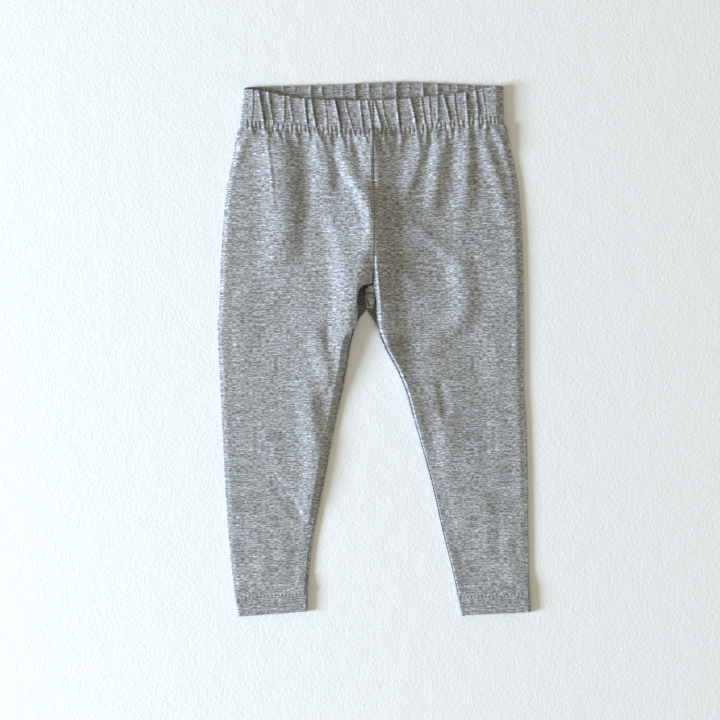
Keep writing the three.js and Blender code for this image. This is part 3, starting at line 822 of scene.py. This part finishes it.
def crotchJoinShape(across, along):
    # the square grid is drawn in at its corners, and domed
    a, b = 2 * across - 1, 2 * along - 1
    toCorner = np.maximum((np.abs(a) ** 4 + np.abs(b) ** 4) ** 0.25, 1e-6)
    boxy = np.maximum(np.abs(a), np.abs(b)) / toCorner
    a, b = a * boxy, b * boxy
    narrow = 1 - 0.2 * softStep(-b, 0.2, 1.0) - 0.25 * softStep(b, 0.5, 1.0)
    y = crotchJoin["y"] + crotchJoin["halfLength"] * b
    x = crotchJoin["x"] + crotchJoin["halfWidth"] * a * narrow + 0.4 * b
    dome = (1 - np.clip(a ** 4 + b ** 4, 0, 1) ** 1.4) ** 0.5
    fromCrease = y - crotchJoin["creaseY"]
    crease = crotchJoin["creaseDepth"] * np.exp(-(fromCrease / crotchJoin["creaseReach"]) ** 2)
    slitX = crotchJoin["x"] - crotchJoin["slitAway"] - crotchJoin["slitLean"] * (y - crotchJoin["slitY"])
    slit = crotchJoin["slitDepth"] * np.exp(-((x - slitX) / crotchJoin["slitReach"]) ** 2)
    slit = slit * softStep(y, 33.6, 35.6) * (1 - softStep(y, 38.6, 41.6))
    knotX, knotY = slitX + crotchJoin["knotAway"], crotchJoin["knotY"]
    knot = crotchJoin["knot"] * np.exp(-((x - knotX) / 1.1) ** 2 - ((y - knotY) / 2.6) ** 2)
    lower = softStep(x, crotchJoin["x"] + 1.4, crotchJoin["x"] + 3.8)
    lower = crotchJoin["lowSide"] * lower * (1 - softStep(fromCrease, -1.0, 1.0))
    rise = crotchJoin["topRise"] * softStep(fromCrease, 0.0, 4.0)
    full = crotchJoin["height"] + rise - crease - slit + knot - lower
    return np.stack([x, y, crotchJoin["base"] + full * dome], axis=1), np.stack([x, y], axis=1)


# Coverstitching: two rows of thread, over the gathers and above each hem

stitches = {
    "length": 2.5,
    "pitch": 2.9,
    "halfThread": 0.2,
    "firstAt": 1.6,             # from the centre front seam
    "waistRows": (-2.6, 2.6),   # from the middle of the gathering row
    "hemRows": (15.0, 17.8),    # above the folded edge
    "edgeGap": 3.5,
    "hemDent": 0.42,            # the thread pulls the hem in by this much
}


def frontHeight(leg, x, y):
    distance = leg["side"] * x
    onCasing = y > frontFootY(x)
    outer = np.where(onCasing, leg["casingAt"](y), leg["outerAt"](y))
    edge = np.where(onCasing, thickness["casingSide"], frontBase(leg, leg["side"] * outer, y))
    full = frontBase(leg, x, y) + frontLift(leg, x, y)
    onHem = y < hemEdgeY(leg, x) + seams["hemDepth"]
    full = np.where(onHem, thickness["hemTop"] + hemLift(leg, x, y), full)
    reach = np.where(onCasing, casingSideReach, leg["sideReach"])
    return mix(edge, full, softStep(outer - distance, 0.5, reach))


def stitchLine(name, leg, distances, rowY):
    bm = bmesh.new()
    x = leg["side"] * np.array(distances)
    ends = np.concatenate([x - 0.8, x, x + 0.8])
    y = rowY(ends)
    z = frontHeight(leg, ends, y)
    rows = zip(x, y.reshape(3, -1).T, z.reshape(3, -1).T)
    for count, (centre, endY, endZ) in enumerate(rows):
        along = Vector((1.6, endY[2] - endY[0], endZ[2] - endZ[0])).normalized()
        turn = along.to_track_quat("X", "Z").to_matrix().to_4x4()
        slack = 0.06 * math.sin(2.3 * count)
        place = Matrix.Translation(Vector((centre, endY[1] + slack, endZ[1] + 0.08)) * mm)
        half = stitches["halfThread"]
        shape = Matrix.Diagonal((stitches["length"] / 2, half, half, 1.0))
        bmesh.ops.create_uvsphere(
            bm, u_segments=6, v_segments=6, radius=1.0,
            matrix=place @ turn @ Matrix.Scale(mm, 4) @ shape @ Matrix.Rotation(math.pi / 2, 4, "Y"))
    for face in bm.faces:
        face.smooth = True
    return pieceFrom(name, bm)


def stitchesOn(leg, wearerSide):
    gap = stitches["edgeGap"]
    runs = [
        ("waist", stitches["waistRows"], stitches["firstAt"], float(leg["casingAt"](178.0)), stitchY),
        ("hem", stitches["hemRows"], leg["hemInner"] + gap, leg["hemOuter"], lambda x: hemEdgeY(leg, x)),
    ]
    pieces = []
    for place, offsets, first, last, lineY in runs:
        distances = np.arange(first, last - gap, stitches["pitch"])
        for number, offset in enumerate(offsets, 1):
            name = f"{place}Stitches_{wearerSide}_{number}"
            pieces.append(stitchLine(name, leg, distances, lambda x: lineY(x) + offset))
    return pieces


# Materials

def addNode(tree, kind, inputs=None, **settings):
    node = tree.nodes.new(kind)
    for key, value in settings.items():
        setattr(node, key, value)
    for key, value in (inputs or {}).items():
        if isinstance(value, bpy.types.NodeSocket):
            tree.links.new(value, node.inputs[key])
        else:
            node.inputs[key].default_value = value
    return node


def emptyMaterial(name):
    material = bpy.data.materials.new(name)
    material.use_nodes = True
    material.node_tree.nodes.clear()
    return material


def ramp(tree, fac, stops):
    node = addNode(tree, "ShaderNodeValToRGB", {"Fac": fac})
    elements = node.color_ramp.elements
    while len(elements) < len(stops):
        elements.new(0.5)
    for element, (place, colour) in zip(elements, stops):
        element.position = place
        element.color = (*colour, 1.0)
    return node.outputs["Color"]


def multiplied(tree, colour, share, fac, stops):
    node = addNode(
        tree, "ShaderNodeMix", {0: share, 6: colour, 7: ramp(tree, fac, stops)},
        data_type="RGBA", blend_type="MULTIPLY")
    return node.outputs[2]


def combined(tree, first, second, operation):
    return addNode(tree, "ShaderNodeMath", {0: first, 1: second}, operation=operation).outputs[0]


def finishSurface(tree, colour, height, strength, depth, settings):
    # a shader with its relief, whose depth is in millimetres
    bumped = addNode(
        tree, "ShaderNodeBump", {"Height": height, "Strength": strength, "Distance": depth * mm})
    shader = addNode(tree, "ShaderNodeBsdfPrincipled", {
        "Base Color": colour, "Normal": bumped.outputs["Normal"], **settings})
    addNode(tree, "ShaderNodeOutputMaterial", {"Surface": shader.outputs["BSDF"]})


heather = {
    "pale": (0.52, 0.54, 0.565),
    "middle": (0.300, 0.314, 0.328),
    "dark": (0.140, 0.136, 0.132),
    "roughness": 0.92,
    "sheen": 0.25,
    "relief": 0.24,
    # grains in a millimetre, across the cloth and along it
    "streaks": (0.30, 1.15),
    "longStreaks": (0.07, 1.05),
    "fibres": (0.95, 3.2),
    "bands": (0.035, 0.42),
    "clouds": (0.02, 0.03),
    "nap": (1.6, 2.6),
}


def heatherJersey(name, lightness=1.0, warmth=0.0):
    material = emptyMaterial(name)
    tree = material.node_tree
    cloth = addNode(tree, "ShaderNodeTexCoord").outputs["UV"]
    tint = (lightness * (1 + warmth), lightness, lightness * (1 - warmth))
    pale, middle, dark = ([c * t for c, t in zip(heather[key], tint)] for key in ("pale", "middle", "dark"))

    def grains(kind, detail, roughness=0.6, distortion=0.0):
        across, along = heather[kind]
        stretched = addNode(
            tree, "ShaderNodeMapping", {"Vector": cloth, "Scale": (across / mm, along / mm, 1)})
        noise = addNode(tree, "ShaderNodeTexNoise", {
            "Vector": stretched.outputs["Vector"], "Scale": 1.0, "Detail": detail,
            "Roughness": roughness, "Distortion": distortion}, noise_dimensions="2D")
        return noise.outputs["Fac"]

    streaks = grains("streaks", 3.0, 0.66, 0.25)
    colour = ramp(tree, streaks, [(0.34, dark), (0.50, middle), (0.66, pale)])
    colour = multiplied(tree, colour, 0.75, grains("fibres", 2.0, 0.7), [
        (0.33, (0.42, 0.41, 0.40)), (0.5, (1, 1, 1)), (0.67, (1.7, 1.74, 1.8))])
    colour = multiplied(tree, colour, 0.9, grains("longStreaks", 3.0, 0.62, 0.1), [
        (0.32, (0.70, 0.69, 0.68)), (0.5, (1, 1, 1)), (0.68, (1.32, 1.34, 1.36))])
    colour = multiplied(tree, colour, 0.9, grains("bands", 3.0), [
        (0.32, (0.84, 0.84, 0.83)), (0.68, (1.15, 1.155, 1.16))])
    colour = multiplied(tree, colour, 1.0, grains("clouds", 2.0), [
        (0.3, (0.95, 0.95, 0.945)), (0.7, (1.05, 1.05, 1.055))])

    # fine ribs of the knit, and the nap over them
    knit = addNode(tree, "ShaderNodeMapping", {"Vector": cloth, "Scale": (1 / mm, 1 / mm, 1)})
    wales = addNode(tree, "ShaderNodeTexWave", {
        "Vector": knit.outputs["Vector"], "Scale": 0.42, "Distortion": 1.6, "Detail": 2.0,
        "Detail Scale": 1.5}, wave_type="BANDS", bands_direction="X")
    relief = combined(tree, wales.outputs["Fac"], 0.35, "MULTIPLY")
    relief = combined(tree, relief, grains("nap", 3.0), "ADD")
    relief = combined(tree, relief, streaks, "ADD")
    finishSurface(tree, colour, relief, 0.5, heather["relief"], {
        "Roughness": heather["roughness"], "Sheen Weight": heather["sheen"], "Sheen Roughness": 0.5,
        "Sheen Tint": (0.95, 0.97, 1.0, 1.0), "Specular IOR Level": 0.2})
    return material


def threadMaterial():
    material = emptyMaterial("greyThread")
    tree = material.node_tree
    place = addNode(tree, "ShaderNodeTexCoord").outputs["Object"]
    twist = addNode(tree, "ShaderNodeMapping", {
        "Vector": place, "Rotation": (0, 0, 0.7), "Scale": (1 / mm, 1 / mm, 1 / mm)})
    strands = addNode(
        tree, "ShaderNodeTexWave", {"Vector": twist.outputs["Vector"], "Scale": 1.4}).outputs["Fac"]
    colour = ramp(tree, strands, [(0.2, (0.30, 0.31, 0.32)), (0.8, (0.46, 0.475, 0.49))])
    finishSurface(tree, colour, strands, 0.4, 0.08, {"Roughness": 0.6, "Specular IOR Level": 0.35})
    return material


def finishPiece(piece, materials, nodeNames=()):
    for material in materials:
        piece.data.materials.append(material)
    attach(piece, "root")
    if nodeNames:
        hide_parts(*nodeNames)


# The cloth pieces

legJersey = heatherJersey("legJersey")
casingJersey = heatherJersey("casingJersey", 0.97, 0.01)
# painted shade: a darker copy of the jersey for the back band's inner face, which lies in the shade of the
# front
shadedInsideJersey = heatherJersey("shadedInsideJersey", 0.84, 0.02)
# painted shade: a much darker copy of the jersey for crevices, the casing's ends and the inner faces seen
# in the crotch hollow
paintedShadeJersey = heatherJersey("paintedShadeJersey", 0.48, 0.03)
hemJersey = heatherJersey("hemJersey", 0.93)
thread = threadMaterial()

print("jersey and thread mixed")

grids = {"leg": (236, 204), "casing": (480, 58), "hem": (230, 44), "join": (30, 64)}  # columns, rows

for leg, wearerSide in ((rightLeg, "right"), (leftLeg, "left")):
    mirrored = leg["side"] < 0

    legPiece = gridOf(f"leg_{wearerSide}_cloth", grids["leg"], legShape(leg), turned=mirrored)
    # the leg's inner faces take the much darker jersey, as painted shade in the crotch hollow
    thicken(legPiece, thickness["cloth"], insideSlot=1)
    finishPiece(legPiece, [legJersey, paintedShadeJersey], [f"leg_{wearerSide}"])

    casingPiece = gridOf(
        f"casing_{wearerSide}_cloth", grids["casing"], casingShape(leg), casingSlot, turned=mirrored)
    thicken(casingPiece, thickness["casingCloth"])
    casingJerseys = [casingJersey, shadedInsideJersey, paintedShadeJersey]
    finishPiece(casingPiece, casingJerseys, [f"casing_{wearerSide}"])

    hemPiece = gridOf(f"hem_{wearerSide}_cloth", grids["hem"], hemShape(leg), turned=not mirrored)
    thicken(hemPiece, thickness["hemCloth"])
    finishPiece(hemPiece, [hemJersey], [f"hem_{wearerSide}"])

    rows = stitchesOn(leg, wearerSide)
    waistRows, hemRows = rows[:2], rows[2:]
    for row in waistRows:
        finishPiece(row, [thread])
    for row in hemRows:
        finishPiece(row, [thread])
    if wearerSide == "right":
        join = gridOf("crotchJoin", grids["join"], crotchJoinShape)
        finishPiece(join, [legJersey])
    print("cloth laid:", wearerSide)


# Floor, light and camera

# places and sizes of the floor and the light are in metres, the camera's in millimetres
floor = {"size": 3.0, "colour": (0.80, 0.83, 0.85), "drop": 0.4 * mm, "relief": 0.7}
key = {
    "place": (-2.97, -0.55, 1.12),
    "size": 1.0,
    "power": 212.0,
    "colour": (0.70, 0.81, 0.985),
}
sky = {"colour": (1.0, 0.904, 0.69), "strength": 0.535}
camera = {"photoMiddle": (-11.2, -8.4), "frameWidth": 576.0, "lens": 80.0, "sensor": 36.0}


def plasterMaterial():
    material = emptyMaterial("palePlaster")
    tree = material.node_tree
    place = addNode(tree, "ShaderNodeTexCoord").outputs["Object"]
    grain, swell = (
        addNode(tree, "ShaderNodeTexNoise", {
            "Vector": place, "Scale": scale, "Detail": detail, "Roughness": roughness}).outputs["Fac"]
        for scale, detail, roughness in ((420.0, 4.0, 0.6), (60.0, 3.0, 0.5)))
    relief = combined(tree, grain, swell, "ADD")
    finishSurface(tree, (*floor["colour"], 1.0), relief, 0.5, floor["relief"], {
        "Roughness": 0.85, "Specular IOR Level": 0.2})
    return material


def layFloor():
    bm = bmesh.new()
    bmesh.ops.create_grid(bm, x_segments=2, y_segments=2, size=floor["size"] / 2)
    bmesh.ops.translate(bm, verts=bm.verts, vec=(0, 0, -floor["drop"]))
    piece = pieceFrom("floor", bm)
    piece.data.materials.append(plasterMaterial())


def addLight(name, setup):
    lamp = bpy.data.lights.new(name, "AREA")
    lamp.shape = "SQUARE"
    lamp.size = setup["size"]
    lamp.energy = setup["power"]
    lamp.color = setup["colour"]
    holder = addObject(name, lamp)
    holder.location = setup["place"]
    holder.rotation_euler = (-Vector(setup["place"])).to_track_quat("-Z", "Y").to_euler()


def addSky():
    world = bpy.data.worlds.new("room")
    world.use_nodes = True
    background = world.node_tree.nodes["Background"]
    background.inputs["Color"].default_value = (*sky["colour"], 1.0)
    background.inputs["Strength"].default_value = sky["strength"]
    bpy.context.scene.world = world


def addCamera():
    lens = bpy.data.cameras.new("camera")
    lens.lens = camera["lens"]
    lens.sensor_width = camera["sensor"]
    lens.clip_start = 0.01
    holder = addObject("camera", lens)
    x, y = camera["photoMiddle"]
    distance = camera["frameWidth"] * camera["lens"] / camera["sensor"]
    holder.location = (x * mm, y * mm, distance * mm)
    bpy.context.scene.camera = holder


layFloor()
addLight("windowLight", key)
addSky()
addCamera()
bpy.context.scene.view_settings.view_transform = "Standard"
print("floor, light and camera placed")
